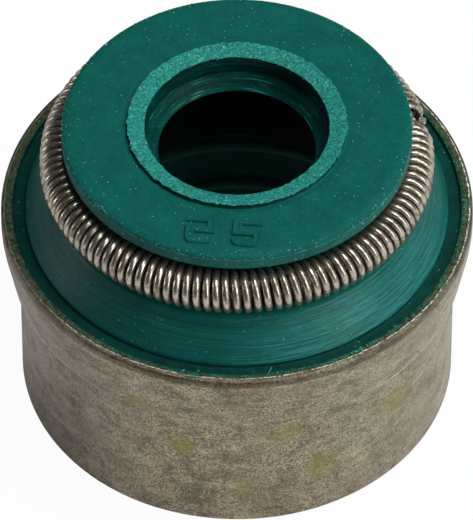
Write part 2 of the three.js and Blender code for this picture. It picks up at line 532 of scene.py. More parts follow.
class Nodes:
    """Short calls for making a material's nodes."""

    def __init__(self, name: str) -> None:
        """Makes an empty node material with its output and one principled shader.

        Args:
            name: the material's name.
        """
        self.material = bpy.data.materials.new(name)
        self.material.use_nodes = True
        self.tree = self.material.node_tree
        self.tree.nodes.clear()
        self.output = self.tree.nodes.new("ShaderNodeOutputMaterial")
        self.shader = self.tree.nodes.new("ShaderNodeBsdfPrincipled")
        self.link(self.shader.outputs[0], self.output.inputs[0])
        self.coordinates = self.tree.nodes.new("ShaderNodeTexCoord")
        self.place = self.coordinates.outputs["Object"]

    def link(self, source: Socket, target: Socket) -> None:
        """Joins an output to an input.

        Args:
            source: the output.
            target: the input.
        """
        self.tree.links.new(source, target)

    def fill(self, node: bpy.types.Node, inputs: dict) -> None:
        """Links or writes the inputs of a node.

        Args:
            node: the node.
            inputs: a socket or a plain value for each input's name or number.
        """
        for name, value in inputs.items():
            if isinstance(value, Socket):
                self.link(value, node.inputs[name])
            else:
                node.inputs[name].default_value = value

    def add(self, kind: str, inputs: dict) -> bpy.types.Node:
        """Adds a node with its inputs.

        Args:
            kind: the node's type in Blender.
            inputs: a socket or a plain value for each input's name or number.

        Returns:
            The node.
        """
        node = self.tree.nodes.new(kind)
        self.fill(node, inputs)
        return node

    def noise(self, vector: Socket, scale: float, detail: float = 4.0, roughness: float = 0.55,
              distortion: float = 0.0) -> Socket:
        """Fractal noise between 0 and 1.

        Args:
            vector: the coordinates.
            scale: waves per unit of the coordinates.
            detail: number of finer layers.
            roughness: weight of each finer layer against the one before.
            distortion: how much the pattern is swirled.

        Returns:
            The noise.
        """
        node = self.add("ShaderNodeTexNoise", {"Vector": vector, "Scale": scale, "Detail": detail,
                                               "Roughness": roughness, "Distortion": distortion})
        return node.outputs[0]

    def lines(self, around: float, along: float, detail: float, roughness: float,
              distortion: float = 0.0) -> Socket:
        """Noise in a piece's map, drawn out into lines.

        Args:
            around: waves per millimetre round the axis, or along a wire.
            along: waves per millimetre along the outline, or round a wire.
            detail: number of finer layers.
            roughness: weight of each finer layer against the one before.
            distortion: how much the pattern is swirled.

        Returns:
            The noise.
        """
        mapping = self.add("ShaderNodeMapping", {"Vector": self.coordinates.outputs["UV"],
                                                 "Scale": (around, along, 1.0)})
        return self.noise(mapping.outputs[0], 1.0, detail, roughness, distortion)

    def cells(self, scale: float) -> Socket:
        """Distance to the nearest of scattered points, for pits and specks.

        Args:
            scale: points per metre.

        Returns:
            The distance, in cells.
        """
        node = self.add("ShaderNodeTexVoronoi", {"Vector": self.place, "Scale": scale, "Randomness": 1.0})
        return node.outputs["Distance"]

    def ramp(self, value: Socket, low: float, high: float, low_out: float = 0.0,
             high_out: float = 1.0) -> Socket:
        """Carries one range over to another smoothly, clamped at both ends.

        Args:
            value: the value to carry over.
            low: value that gives low_out.
            high: value that gives high_out; it may be the smaller of the two.
            low_out: result at low and before it.
            high_out: result at high and past it.

        Returns:
            The result.
        """
        node = self.tree.nodes.new("ShaderNodeMapRange")
        node.interpolation_type = "SMOOTHSTEP"
        self.fill(node, {"Value": value, "From Min": low, "From Max": high})
        self.fill(node, {"To Min": low_out, "To Max": high_out})
        return node.outputs[0]

    def math(self, operation: str, *values: Socket | float) -> Socket:
        """One arithmetic step.

        Args:
            operation: the step's name in Blender, such as ADD.
            values: the one or two values that it takes.

        Returns:
            The result.
        """
        node = self.tree.nodes.new("ShaderNodeMath")
        node.operation = operation
        self.fill(node, dict(enumerate(values)))
        return node.outputs[0]

    def times(self, first: Socket, second: Socket | float) -> Socket:
        """Product of two values.

        Args:
            first: the first value.
            second: the second value.

        Returns:
            The product.
        """
        return self.math("MULTIPLY", first, second)

    def mix(self, share: Socket, first: Socket | Triple, second: Socket | Triple) -> Socket:
        """Colour between two others.

        Args:
            share: 0 for the first colour, 1 for the second.
            first: the first colour.
            second: the second colour.

        Returns:
            The colour.
        """
        node = self.tree.nodes.new("ShaderNodeMix")
        node.data_type = "RGBA"
        colours = [colour if isinstance(colour, Socket) else (*colour, 1.0) for colour in (first, second)]
        self.fill(node, {"Factor": share, "A": colours[0], "B": colours[1]})
        return node.outputs["Result"]

    def layer(self, colour: Socket, over: Triple, value: Socket, low: float, high: float,
              most: float = 1.0) -> Socket:
        """Lays a second colour over a first one where a value passes from low to high.

        Args:
            colour: the first colour.
            over: the second colour.
            value: the value that decides.
            low: value with none of the second colour.
            high: value with the most of it.
            most: its largest share.

        Returns:
            The colour.
        """
        return self.mix(self.ramp(value, low, high, 0.0, most), colour, over)

    def vector(self, operation: str, first: Socket, second: Triple = (0.0, 0.0, 0.0),
               output: str = "Value") -> Socket:
        """One step of vector arithmetic.

        Args:
            operation: the step's name in Blender, such as DISTANCE.
            first: the first vector.
            second: the second vector.
            output: Value or Vector.

        Returns:
            The result.
        """
        node = self.tree.nodes.new("ShaderNodeVectorMath")
        node.operation = operation
        self.fill(node, {0: first, 1: second})
        return node.outputs[output]

    def from_axis(self) -> Socket:
        """Distance from the seal's axis.

        Returns:
            The distance in metres.
        """
        return self.vector("LENGTH", self.vector("MULTIPLY", self.place, (1, 1, 0), "Vector"))

    def away(self, place: Triple) -> Socket:
        """Distance from a place.

        Args:
            place: the place in millimetres.

        Returns:
            The distance in metres.
        """
        return self.vector("DISTANCE", self.place, scaled(place, MM))

    def side(self, direction: Triple, start: float, end: float, start_out: float = 0.0,
             end_out: float = 1.0) -> Socket:
        """Value that changes along a direction.

        Args:
            direction: a unit vector.
            start: distance from the axis where it starts to change, in millimetres.
            end: distance where it stops, in millimetres.
            start_out: value before start.
            end_out: value past end.

        Returns:
            The value.
        """
        reach = self.vector("DOT_PRODUCT", self.place, direction)
        return self.ramp(reach, start * MM, end * MM, start_out, end_out)

    def near(self, place: Triple, reach: float, ragged_by: Socket) -> Socket:
        """Share from 1 at a place to 0 a reach away, with an edge made uneven by a noise.

        Args:
            place: the spot's middle in millimetres.
            reach: its size in millimetres.
            ragged_by: noise between 0 and 1.

        Returns:
            The share.
        """
        most, outside, inside = 0.55, 0.74, 1.08
        share = self.ramp(self.away(place), 0.0, reach * MM, most, 0.0)
        return self.ramp(self.math("ADD", share, ragged_by), outside, inside)

    def bump(self, height: Socket, depth: float, strength: float = 1.0,
             under: Socket | None = None) -> Socket:
        """Bump, on top of another one if that is given.

        Args:
            height: height between 0 and 1.
            depth: depth of a full step in millimetres.
            strength: share of the bump that is used.
            under: normal of the bump below.

        Returns:
            The bumped normal.
        """
        node = self.add("ShaderNodeBump", {"Height": height, "Distance": depth * MM, "Strength": strength})
        if under is not None:
            self.link(under, node.inputs["Normal"])
        return node.outputs[0]

    def finished(self, colour: Socket, roughness: Socket | float, normal: Socket, metallic: float = 0.0,
                 specular: float = 0.5) -> bpy.types.Material:
        """Fills the shader.

        Args:
            colour: the base colour.
            roughness: the roughness.
            normal: the bumped normal.
            metallic: how metallic it is.
            specular: level of the clear reflection of what isn't metal.

        Returns:
            The finished material.
        """
        self.fill(self.shader, {"Base Color": colour, "Roughness": roughness, "Normal": normal,
                                "Metallic": metallic, "Specular IOR Level": specular})
        return self.material


@dataclass(frozen=True)
class RubberFinish:
    """Satin green fluoro-rubber as it leaves the mould, with fine dust."""

    name: str = "green_rubber_moulded"
    deep: Triple = (0.0036, 0.086, 0.070)
    light: Triple = (0.0048, 0.114, 0.094)
    dust: Triple = (0.16, 0.40, 0.34)
    roughness: float = 0.52
    specular: float = 0.035
    dust_amount: float = 0.062
    dust_edge: float = 0.06
    grain_share: float = 0.45
    line_scale: float = 0.0
    line_depth: float = 0.0
    # painted sheen: its strength, the side it lies on, and the colours of its streaks and tips
    painted_sheen: float = 0.0
    painted_sheen_side: Triple = (0.62, -0.785, 0.0)
    painted_sheen_streak: Triple = (0.036, 0.25, 0.22)
    painted_sheen_tip: Triple = (0.07, 0.32, 0.28)
    scratch_share: float = 0.5
    scratch: Triple = (0.05, 0.20, 0.17)

    def build(self) -> bpy.types.Material:
        """Makes the material: slow mottling and dust specks, then turned lines and a painted sheen on the
        right-front side where set.

        Returns:
            The material.
        """
        n = Nodes(self.name)
        mottle = n.noise(n.place, 0.8 * PER_METRE, 8.0, 0.72)
        grain = n.noise(n.place, 7.0 * PER_METRE, 3.0, 0.6)
        fine = n.noise(n.place, 9.0 * PER_METRE, 3.0, 0.8)
        colour = n.mix(n.ramp(mottle, 0.3, 0.7), self.deep, self.light)
        colour = n.layer(colour, self.scratch, fine, 0.56, 0.74, self.grain_share)
        colour = n.layer(colour, scaled(self.deep, 0.6), fine, 0.44, 0.28, 0.5)
        specks = n.ramp(n.cells(2.9 * PER_METRE), self.dust_amount + self.dust_edge, self.dust_amount)
        dust = n.times(specks, n.ramp(n.noise(n.place, 0.9 * PER_METRE, 2.0), 0.46, 0.58))
        colour = n.mix(dust, colour, self.dust)
        bump = n.bump(dust, 0.03, 0.8, n.bump(grain, 0.006, 0.6))
        rough = n.ramp(grain, 0.3, 0.7, self.roughness - 0.08, self.roughness + 0.08)
        if self.line_scale:
            lines = n.lines(0.035, self.line_scale, 4.0, 0.7)
            scratches = n.lines(0.25, self.line_scale * 2.2, 2.0, 0.5)
            colour = n.layer(colour, self.scratch, scratches, 0.60, 0.70, self.scratch_share)
            colour = n.layer(colour, scaled(self.deep, 0.55), lines, 0.42, 0.66, 0.75)
            bump = n.bump(lines, self.line_depth, 1.0, bump)
        # painted sheen: lighter streaks and tips on the right-front side, where the lamps' sheen falls on the
        # shoulder
        if self.painted_sheen:
            side = n.side(self.painted_sheen_side, 6.6, 9.2, 0.0, self.painted_sheen)
            streaks = n.ramp(n.lines(0.35, 13.0, 4.0, 0.8), 0.42, 0.64)
            tips = n.ramp(n.lines(2.2, 14.0, 3.0, 0.7), 0.60, 0.74)
            colour = n.mix(n.times(side, streaks), colour, self.painted_sheen_streak)
            colour = n.mix(n.times(side, tips), colour, self.painted_sheen_tip)
        return n.finished(colour, rough, bump, specular=self.specular)


@dataclass(frozen=True)
class GroundRubberFinish:
    """Lighter, granular face of rubber that has been ground off."""

    name: str = "green_rubber_ground"
    deep: Triple = (0.008, 0.115, 0.092)
    light: Triple = (0.024, 0.310, 0.260)
    pale: Triple = (0.26, 0.66, 0.58)
    roughness: float = 0.68
    specular: float = 0.12
    grain_scale: float = 9.0
    grain_depth: float = 0.035

    def build(self) -> bpy.types.Material:
        """Makes the material: coarse grains with pale tips over a mid green.

        Returns:
            The material.
        """
        n = Nodes(self.name)
        grain = n.noise(n.place, self.grain_scale * PER_METRE, 3.0, 0.7, 0.3)
        coarse = n.noise(n.place, 2.2 * PER_METRE, 3.0, 0.6)
        colour = n.mix(n.ramp(grain, 0.34, 0.6), self.deep, self.light)
        colour = n.layer(colour, self.deep, coarse, 0.3, 0.75, 0.4)
        colour = n.layer(colour, self.pale, grain, 0.58, 0.69, 0.55)
        bump = n.bump(grain, self.grain_depth, 0.9)
        return n.finished(colour, self.roughness, bump, specular=self.specular)


@dataclass(frozen=True)
class CaseSteelFinish:
    """Dull phosphated sheet steel: close dark and light grain, pits, drawing lines and oily olive stains."""

    name: str = "case_sheet_steel"
    dark: Triple = (0.115, 0.096, 0.066)
    light: Triple = (0.52, 0.455, 0.32)
    # painted shade on the left side and painted reflection tint (the green colour) on the right side
    left_painted_shade: Triple = (0.30, 0.26, 0.235)
    green: Triple = (0.33, 0.33, 0.235)
    brown: Triple = (0.20, 0.145, 0.095)
    olive: Triple = (0.26, 0.215, 0.045)
    pit: Triple = (0.035, 0.028, 0.020)
    metallic: float = 0.85
    roughness: float = 0.44
    stain_places: tuple[tuple[float, float, float, float], ...] = (
        (-2.5, -10.0, 5.1, 1.8), (0.2, -10.3, 2.3, 1.6), (2.4, -10.3, 6.0, 2.2), (3.9, -9.6, 3.0, 2.4),
        (-4.4, -9.4, 7.6, 2.0), (7.4, -7.2, 5.0, 2.6), (-9.0, 4.8, 5.0, 2.5), (3.0, 9.9, 3.6, 2.6))

    def build(self) -> bpy.types.Material:
        """Makes the material: grain first, then painted shade on the left and a painted reflection tint on
        the right, then tone, streaks, stains, specks and pits over it.

        Returns:
            The material.
        """
        n = Nodes(self.name)
        grain = n.noise(n.place, 9.5 * PER_METRE, 4.0, 0.85)
        patches = n.noise(n.place, 0.85 * PER_METRE, 7.0, 0.78, 0.6)
        tone = n.noise(n.place, 0.30 * PER_METRE, 4.0, 0.6, 0.5)
        specks = n.noise(n.place, 5.5 * PER_METRE, 3.0, 0.9)
        wipes = n.lines(0.42, 1.7, 6.0, 0.75, 0.5)
        drawn = n.lines(0.16, 9.0, 3.0, 0.65)
        colour = n.mix(n.ramp(grain, 0.40, 0.61), self.dark, self.light)
        # painted shade: cooler, darker tone on the left side; painted reflection: greyer green tone on the
        # right side
        colour = n.mix(n.side(LEFT, 2.0, 10.0, 0.0, 0.6), colour, self.left_painted_shade)
        colour = n.mix(n.side(RIGHT, 1.0, 10.0, 0.0, 0.5), colour, self.green)
        colour = n.layer(colour, self.brown, tone, 0.44, 0.66, 0.4)
        colour = n.layer(colour, self.dark, patches, 0.48, 0.62, 0.7)
        colour = n.layer(colour, self.dark, wipes, 0.51, 0.66, 0.55)
        colour = n.layer(colour, self.light, wipes, 0.46, 0.34, 0.42)
        for *spot, reach in self.stain_places:
            stain = n.near(tuple(spot), reach, patches)
            colour = n.mix(n.times(stain, 0.6), colour, self.olive)
        colour = n.layer(colour, self.light, drawn, 0.60, 0.74, 0.4)
        colour = n.layer(colour, self.pit, specks, 0.60, 0.70, 0.6)
        pitted = n.ramp(n.noise(n.place, 0.8 * PER_METRE, 2.0), 0.49, 0.58)
        pits = n.times(n.ramp(n.cells(3.4 * PER_METRE), 0.20, 0.11), pitted)
        colour = n.mix(n.times(pits, 0.85), colour, self.pit)
        rough = n.ramp(grain, 0.3, 0.7, self.roughness + 0.08, self.roughness - 0.06)
        bump = n.bump(wipes, 0.012, 0.6, n.bump(pits, -0.03, 0.8, n.bump(grain, 0.024)))
        return n.finished(colour, rough, bump, metallic=self.metallic)


@dataclass(frozen=True)
class RimFilmFinish:
    """Cut face of the sheet under a thin smear of green rubber, greener towards the inside."""

    inner: float
    outer: float
    name: str = "case_rim_film"
    olive: Triple = (0.058, 0.072, 0.030)
    green: Triple = (0.006, 0.072, 0.040)
    brown: Triple = (0.095, 0.078, 0.036)
    dark: Triple = (0.004, 0.012, 0.008)
    flash: Triple = (0.035, 0.26, 0.160)
    roughness: float = 0.45
    metallic: float = 0.15
    specular: float = 0.3

    def build(self) -> bpy.types.Material:
        """Makes the material: olive and brown metal, a green smear by radius and noise, and bright flash.

        Returns:
            The material.
        """
        n = Nodes(self.name)
        grain = n.noise(n.place, 4.2 * PER_METRE, 4.0, 0.8, 0.4)
        cover = n.noise(n.place, 1.5 * PER_METRE, 6.0, 0.8, 1.0)
        bare = n.noise(n.place, 0.35 * PER_METRE, 3.0, 0.6)
        inwards = n.ramp(n.from_axis(), self.inner * MM, self.outer * MM, 0.42, -0.02)
        left = n.side(LEFT, 2.0, 9.5, 0.0, -0.24)
        smear = n.math("ADD", n.math("ADD", cover, inwards), left)
        colour = n.mix(n.ramp(bare, 0.47, 0.62), self.olive, self.brown)
        colour = n.layer(colour, self.green, smear, 0.54, 0.66)
        colour = n.layer(colour, self.dark, grain, 0.50, 0.43, 0.8)
        colour = n.layer(colour, self.flash, grain, 0.57, 0.66, 0.8)
        return n.finished(colour, self.roughness, n.bump(grain, 0.09), self.metallic, self.specular)


@dataclass(frozen=True)
class SteelEdgeHighlightFinish:
    """Bright edge of the sheet, partly real bare steel and painted brighter as a highlight, broken by dark
    nicks and green rubber flash.
    """

    name: str
    bright: Triple
    nick: Triple
    nick_range: tuple[float, float]
    flash_range: tuple[float, float]
    flash: Triple = (0.014, 0.15, 0.09)
    metallic: float = 0.2
    highlight_sides_only: bool = False
    highlight_left_fade: float = 0.0

    def build(self) -> bpy.types.Material:
        """Makes the material: bright steel as a painted highlight, faded out on the left and, where set, kept
        to the left and right sides, with nicks and flash scattered along the edge.

        Returns:
            The material.
        """
        n = Nodes(self.name)
        nicks = n.noise(n.place, 5.0 * PER_METRE, 4.0, 0.8, 0.4)
        patches = n.noise(n.place, 1.9 * PER_METRE, 5.0, 0.8, 0.6)
        colour = n.mix(n.ramp(nicks, *self.nick_range), self.nick, self.bright)
        # painted shade: the highlight fades to the nick colour on the left side
        colour = n.mix(n.side(LEFT, 6.5, 9.0, 0.0, self.highlight_left_fade), colour, self.nick)
        # painted highlight kept only on the left and right sides, the nick colour elsewhere
        if self.highlight_sides_only:
            sides = n.math("ADD", n.side(LEFT, 5.0, 8.2), n.side(RIGHT, 5.0, 8.2))
            colour = n.mix(sides, self.nick, colour)
        colour = n.layer(colour, self.flash, patches, *self.flash_range)
        rough = n.ramp(nicks, 0.35, 0.6, 0.5, 0.28)
        return n.finished(colour, rough, n.bump(nicks, 0.03, 0.8), self.metallic)


@dataclass(frozen=True)
class SpringWireFinish:
    """Bright drawn spring wire with faint brown spots."""

    name: str = "drawn_spring_wire"
    bright: Triple = (0.46, 0.42, 0.35)
    spot: Triple = (0.17, 0.135, 0.095)
    roughness: float = 0.27
    metallic: float = 0.86

    def build(self) -> bpy.types.Material:
        """Makes the material: spots by place, and drawing lines along the wire.

        Returns:
            The material.
        """
        n = Nodes(self.name)
        spots = n.noise(n.place, 2.6 * PER_METRE, 5.0, 0.78)
        drawn = n.lines(0.5, 14.0, 3.0, 0.6)
        colour = n.mix(n.ramp(spots, 0.47, 0.60, 0.0, 0.8), self.bright, self.spot)
        colour = n.layer(colour, self.spot, drawn, 0.55, 0.75, 0.4)
        rough = n.ramp(spots, 0.35, 0.7, self.roughness - 0.05, self.roughness + 0.16)
        bump = n.bump(drawn, 0.008, 0.6, n.bump(spots, 0.008, 0.4))
        return n.finished(colour, rough, bump, self.metallic)


def dress(piece: bpy.types.Object, node: str | None, finishes: list[bpy.types.Material]) -> None:
    """Gives a piece its materials and its body, and hides the solid that it replaces.

    Args:
        piece: the finished piece.
        node: the solid that it replaces, or None.
        finishes: one material per material slot of the mesh.
    """
    for finish in finishes:
        piece.data.materials.append(finish)
    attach(piece, BODY)
    if node:
        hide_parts(node)
    LOG.info("%s: %d faces", piece.name, len(piece.data.polygons))


@dataclass
class SteelCase:
    """Stepped tube of sheet steel with a bare, slightly ragged cut rim."""

    sizes: SealSizes
    segments: int = 720
    rim_round: float = 0.27
    burr_width: float = 0.04
    burr_wander: float = 0.15
    step_round: float = 0.2
    foot_bevel: float = 0.1
    highlight_foot: float = 0.08
    highlight_height: float = 0.07
    step_end: float = 0.36
    step_swell: float = 0.03
    step_sink: float = 0.02
    shaded_height: float = 0.12
    burr_seam: float = 0.005
    burr_reach: float = 0.0264
    inner_round: float = 0.04
    bevel_round: float = 0.02
    foot_round: float = 0.06
    step_corner: float = 0.05
    highlight_round: float = 0.03
    swell_round: float = 0.15
    taper_round: float = 0.35
    ledge_round: float = 0.12
    waviness: float = 0.008
    rim_nicks: float = 0.016

    def corners(self) -> list[Corner]:
        """Outline of the case, counter-clockwise from its foot.

        Returns:
            The corners.
        """
        s = self.sizes
        rim, top, step = s.rim_radius, s.case_height, s.step_height
        cut = rim - self.rim_round
        inner_edge, *wall = s.inner_wall(0, top)[::-1]
        highlight_line = step + self.highlight_foot
        swell = step + self.step_end
        return [
            Corner(s.tube_radius - self.foot_bevel, 0, self.bevel_round, CaseZone.SHADED_EDGE),
            Corner(s.tube_radius, self.foot_bevel, self.foot_round, CaseZone.SHEET, steps=10),
            Corner(s.tube_radius, step, self.ledge_round, CaseZone.SHEET, steps=2),
            Corner(s.band_foot - self.step_round, step, self.step_corner, CaseZone.SHEET),
            # painted highlight: narrow bright line on the band's lower edge
            Corner(s.band_foot - self.step_sink, highlight_line, self.highlight_round, CaseZone.PAINTED_HIGHLIGHT_EDGE),
            Corner(s.band_foot - self.step_sink / 2, highlight_line + self.highlight_height, 0.0, CaseZone.SHEET),
            Corner(s.band_foot + self.step_swell, swell, self.swell_round, CaseZone.SHEET, steps=8),
            Corner(rim, s.taper_top, self.taper_round, CaseZone.SHEET, steps=3),
            # painted shade: the rim's rounded outer edge gets the half-bright copy of the steel
            Corner(rim, top - self.rim_round - self.shaded_height, 0.0, CaseZone.SHADED_EDGE, steps=2),
            Corner(rim, top, self.rim_round, CaseZone.SHADED_EDGE),
            Corner(cut - self.burr_seam, top, 0.0, CaseZone.BURR, steps=2),
            Corner(cut - self.burr_width, top, 0.0, CaseZone.FILM, steps=8),
            Corner(inner_edge.radius, inner_edge.height, self.inner_round, CaseZone.FILM),
            *[Corner(c.radius, c.height, 0.0, CaseZone.SHEET) for c in wall],
        ]

    def build(self) -> bpy.types.Object:
        """Turns the outline, with faint waves pressed into the wall and nicks along the rim.

        Returns:
            The piece.
        """
        outline, zones = rounded_outline(self.corners())
        radius, height = outline[:, 0], outline[:, 1]
        rim, inner_rim, top = self.sizes.rim_radius, self.sizes.rim_inner, self.sizes.case_height
        angle = round_steps(self.segments)[:, None]
        burr_middle = rim - self.rim_round - self.burr_width / 2
        on_burr = (np.abs(radius - burr_middle) < self.burr_reach) & (height > top - TOUCH)
        nicks = ragged(self.segments, SEED + 1, 1) * on_burr
        from_outside = np.clip((rim - radius) / self.rim_round, 0, 1)
        from_inside = np.clip((radius - inner_rim) / (rim - self.rim_round - inner_rim), 0, 1)
        on_top = height > top - self.rim_round
        wander = self.burr_wander * np.cos(angle) ** 2 * from_outside * from_inside * on_top
        wave = periodic_noise(angle, height[None], SEED, orders=9, length=5.0)
        shift = np.zeros((self.segments, len(outline), 2))
        shift[..., 0] += wander + 0.5 * self.rim_nicks * nicks - self.waviness * (1 + np.tanh(wave)) / 2
        shift[..., 1] -= self.rim_nicks * np.abs(nicks)
        return turned_piece("steel_case", outline, zones, self.segments, shift)


@dataclass
class RubberBody:
    """Green rubber body from the ground ring down to the ribbed lining of the socket."""

    sizes: SealSizes
    segments: int = 450
    groove_steps: int = 12
    head_round_steps: int = 6
    burr_out: float = 0.03
    burr_up: float = 0.02
    flash_out: float = 0.012
    edge_line: float = 0.08
    moat_width: float = 0.34
    moat_depth: float = 0.11
    moat_side: float = math.radians(228)
    moat_even: float = 0.55
    moat_swing: float = 0.6
    edge_reach: float = 0.035
    turned_waves: float = 0.006
    groove_round: float = 0.05
    crest_round: float = 0.12
    neck_round: float = 0.25
    neck_gap: float = 0.02
    moat_round: float = 0.03
    ring_round: float = 0.02
    throat_round: float = 0.08
    lip_round: float = 0.025
    chamber_round: float = 0.3
    ceiling_round: float = 0.15
    stop_round: float = 0.1
    rib_round: float = 0.08

    def head_edge(self) -> list[Corner]:
        """Rounded edge of the head: a quarter of an ellipse from the side up to the flat top.

        Returns:
            The corners.
        """
        s = self.sizes
        angle = np.linspace(0, np.pi / 2, self.head_round_steps + 1)
        radius = s.head_radius - s.head_edge_width * (1 - np.cos(angle))
        height = s.head_shoulder + s.head_edge_drop * np.sin(angle)
        return [Corner(r, h) for r, h in zip(radius, height)]

    def groove(self) -> list[Corner]:
        """Spring groove: a quarter of a circle from under the spring to the neck.

        Returns:
            The corners.
        """
        s = self.sizes
        angle = np.linspace(-np.pi / 2, -np.pi, self.groove_steps + 1)
        size = s.coil_radius + s.spring_clearance
        radius = s.spring_radius + size * np.cos(angle)
        height = s.spring_height + size * np.sin(angle)
        return [Corner(r, h) for r, h in zip(radius, height)]

    def ribs(self) -> list[Corner]:
        """Ribs of the lining from the guide stop down.

        Returns:
            The corners.
        """
        s = self.sizes
        pitch = (s.guide_stop - s.lining_foot - s.lead_in) / (s.rib_count + 1)
        half = s.rib_face / 2
        found = []
        for i in range(s.rib_count):
            middle = s.guide_stop - pitch * (i + 1)
            found += [
                Corner(s.guide_radius, middle + half + s.rib_flank, self.rib_round),
                Corner(s.guide_radius - s.rib_proud, middle + half, self.rib_round),
                Corner(s.guide_radius - s.rib_proud, middle - half, self.rib_round),
                Corner(s.guide_radius, middle - half - s.rib_flank, self.rib_round),
            ]
        return found

    def corners(self) -> list[Corner]:
        """Outline of the body, counter-clockwise from the lining's foot.

        Returns:
            The corners.
        """
        s = self.sizes
        floor = s.case_height - s.groove_drop
        crest = s.spring_height - s.coil_radius - s.spring_clearance - s.crest_drop
        throat = s.mouth_height - s.throat_depth
        lip = throat - s.funnel_depth
        wall = s.inner_wall(s.lining_foot, floor)
        edge = self.head_edge()
        return [
            *wall[:-1],
            Corner(wall[-1].radius, floor, 0.0, Zone.SHADED_GROOVE, steps=4),
            Corner(s.shoulder_radius + s.groove_draft, floor, self.groove_round, Zone.SHADED_GROOVE, steps=2),
            Corner(s.shoulder_radius, s.case_height, self.groove_round, Zone.TURNED, steps=18),
            Corner(s.crest_radius, crest, self.crest_round, steps=2),
            *self.groove(),
            Corner(s.neck_radius, s.head_underside - self.neck_gap, self.neck_round, steps=3),
            Corner(s.head_radius, s.head_underside, self.groove_round, Zone.SIDE, steps=6),
            Corner(s.head_radius, s.head_shoulder - self.edge_line, 0.0, Zone.EDGE, steps=2),
            *edge[:-1],
            Corner(edge[-1].radius, edge[-1].height, 0.0, Zone.PLAIN, steps=14),
            Corner(s.ring_radius + self.moat_width, s.head_top, self.moat_round, Zone.PLAIN, steps=3),
            Corner(s.ring_radius, s.head_top, 0.0, Zone.SHADED_GROOVE, steps=2),
            Corner(s.ring_radius, s.ring_top, self.ring_round, Zone.GROUND, steps=10),
            Corner(s.mouth_radius, s.mouth_height, self.ring_round, Zone.SHADED_THROAT, steps=6),
            Corner(s.mouth_radius + s.throat_undercut, throat, self.throat_round, Zone.SHADED_THROAT, steps=5),
            Corner(s.lip_radius, lip, self.lip_round, Zone.SHADED_INSIDE, steps=4),
            Corner(s.chamber_radius, lip - s.lip_slope_height, self.chamber_round, Zone.SHADED_INSIDE, steps=2),
            Corner(s.chamber_radius, s.guide_stop, self.ceiling_round, Zone.SHADED_INSIDE, steps=2),
            Corner(s.guide_radius, s.guide_stop, self.stop_round),
            *self.ribs(),
            Corner(s.guide_radius, s.lining_foot + s.lead_in, self.stop_round),
            Corner(s.guide_radius + s.lead_in, s.lining_foot, self.rib_round),
        ]

    def at(self, outline: np.ndarray, radius: float, height: float) -> np.ndarray:
        """Which points of the outline make up one of its edges.

        Args:
            outline: points of [radius, height].
            radius: the edge's radius.
            height: the edge's height.

        Returns:
            True for each point of the edge.
        """
        return np.all(np.abs(outline - (radius, height)) < self.edge_reach, axis=1)

    def build(self) -> bpy.types.Object:
        """Turns the outline, with ragged edges at ring, mouth and head and an undercut outside the ring.

        Returns:
            The piece.
        """
        s = self.sizes
        outline, zones = rounded_outline(self.corners())
        radius, height = outline[:, 0], outline[:, 1]
        angle = round_steps(self.segments)[:, None]
        ring_edge = self.at(outline, s.ring_radius, s.ring_top)
        mouth_edge = self.at(outline, s.mouth_radius, s.mouth_height)
        head_edge = self.at(outline, s.head_radius, s.head_shoulder)
        ring_burr = self.burr_out * np.clip(ragged(self.segments, SEED + 2, 1), -0.6, 2.2)
        mouth_burr = self.burr_out / 2 * np.clip(ragged(self.segments, SEED + 4, 2), -1, 2)
        flash = self.flash_out * np.clip(ragged(self.segments, SEED + 5, 2), -1, 2)
        waves = self.turned_waves * periodic_noise(angle, height[None], SEED + 6, orders=7, length=1.5)
        inwards = np.clip((s.ring_radius + self.moat_width - radius) / self.moat_width, 0, 1)
        on_moat = (np.abs(height - s.head_top) < TOUCH) & (radius > s.ring_radius - TOUCH)
        deep = np.clip(self.moat_even + self.moat_swing * np.cos(angle - self.moat_side), 0, 1)
        shift = np.zeros((self.segments, len(outline), 2))
        shift[..., 0] += ring_burr * ring_edge - mouth_burr * mouth_edge + flash * head_edge
        shift[..., 0] += waves * (zones == Zone.TURNED.value)
        shift[..., 1] -= self.burr_up * np.abs(ragged(self.segments, SEED + 3, 1)) * ring_edge
        shift[..., 1] -= self.moat_depth * inwards * on_moat * deep
        return turned_piece("rubber_body_moulded", outline, zones, self.segments, shift)


class Side(Enum):
    """Side of a digit that a slot opens to."""

    LEFT = -1
    RIGHT = 1


